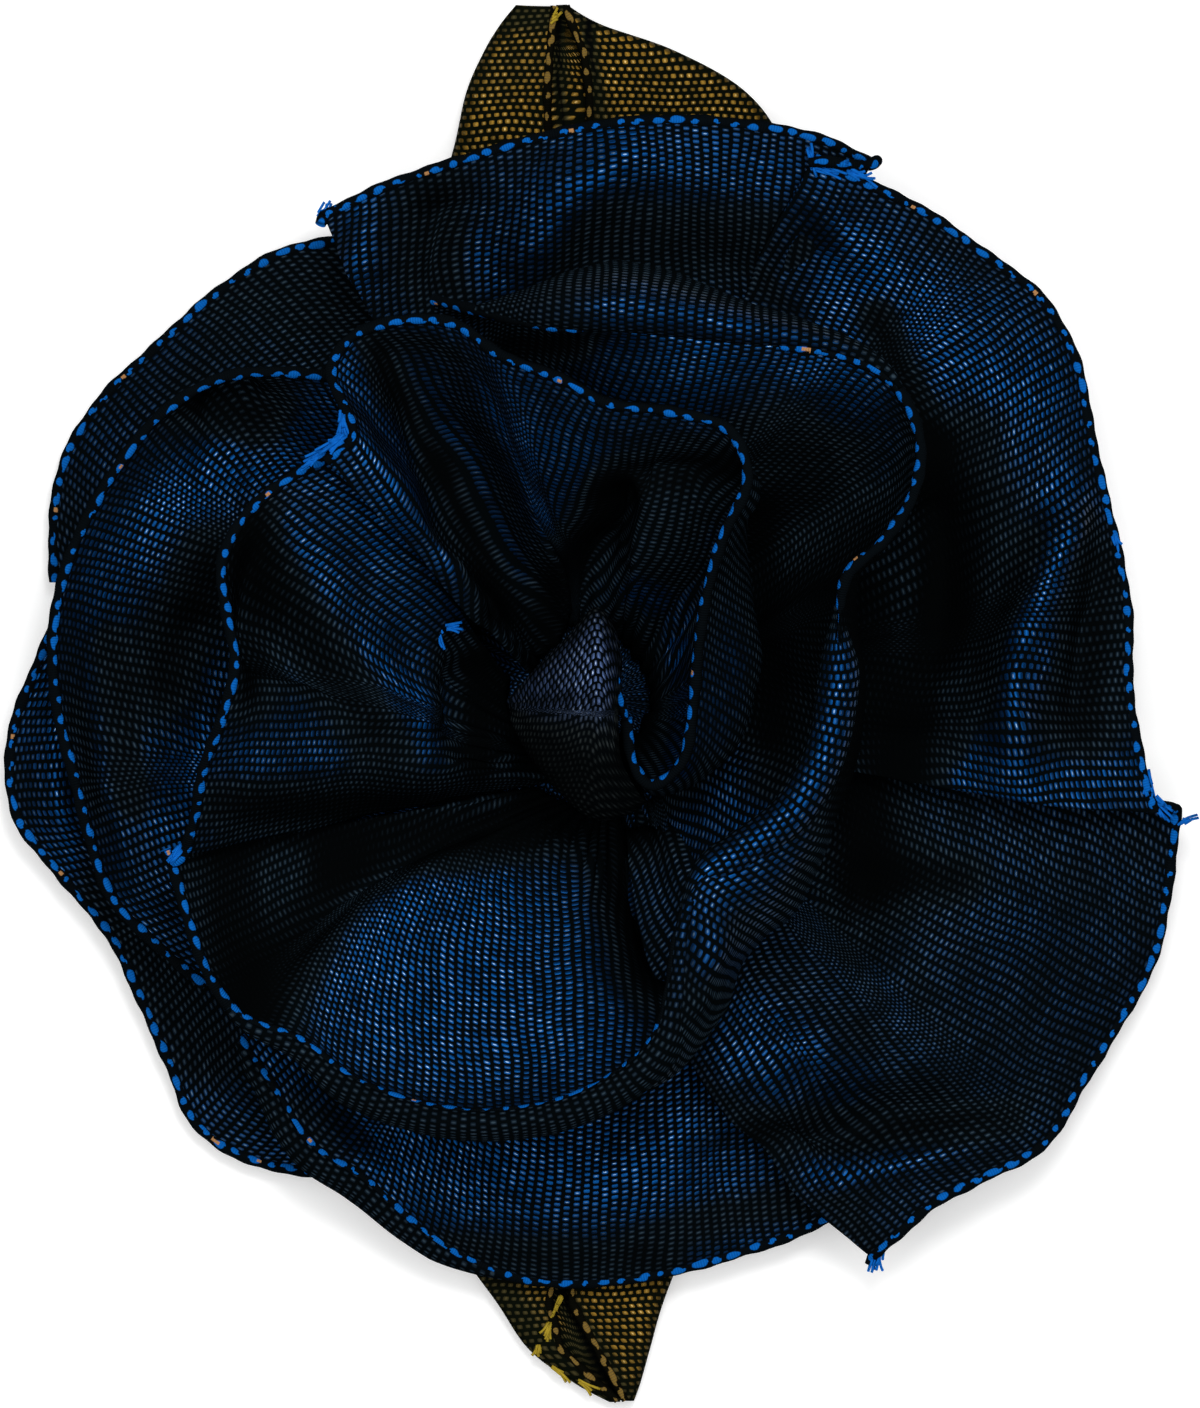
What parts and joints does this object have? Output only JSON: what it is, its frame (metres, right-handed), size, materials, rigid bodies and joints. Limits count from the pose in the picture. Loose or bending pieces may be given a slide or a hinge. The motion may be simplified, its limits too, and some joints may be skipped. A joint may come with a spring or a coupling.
{
  "type": "rosette brooch",
  "caption": "Rose-shaped brooch of gathered shot ribbon, its petals coiled round a bud, with folded ribbon leaves behind and a bar pin on the back.",
  "frame": {"origin": "on the surface that the brooch rests on, under the middle of its box", "axes": "+Z out of the rose's face, +Y from the bottom leaf to the top leaf, +X to the right as one looks at the face"},
  "size_m": [0.088, 0.1056, 0.033],
  "materials": {
    "blue_ribbon": "shot ribbon, black warp and cobalt blue weft",
    "leaf_ribbon": "shot ribbon, black warp and old gold weft",
    "sewn_ribbon": "gathered ribbon, sewn through",
    "pin_steel": "nickel-plated steel"
  },
  "bodies": {
    "root": {"bud": "blue_ribbon", "inner_upper_petal": "blue_ribbon", "inner_left_petal": "blue_ribbon", "scroll_petal": "blue_ribbon", "middle_left_petal": "blue_ribbon", "middle_lower_petal": "blue_ribbon", "outer_lower_right_petal": "blue_ribbon", "outer_right_petal": "blue_ribbon", "outer_top_petal": "blue_ribbon", "outer_left_petal": "blue_ribbon", "back_left_petal": "blue_ribbon", "top_leaf": "leaf_ribbon", "bottom_leaf": "leaf_ribbon", "sewn_base": "sewn_ribbon", "bar_pin": "pin_steel"}
  },
  "joints": []
}
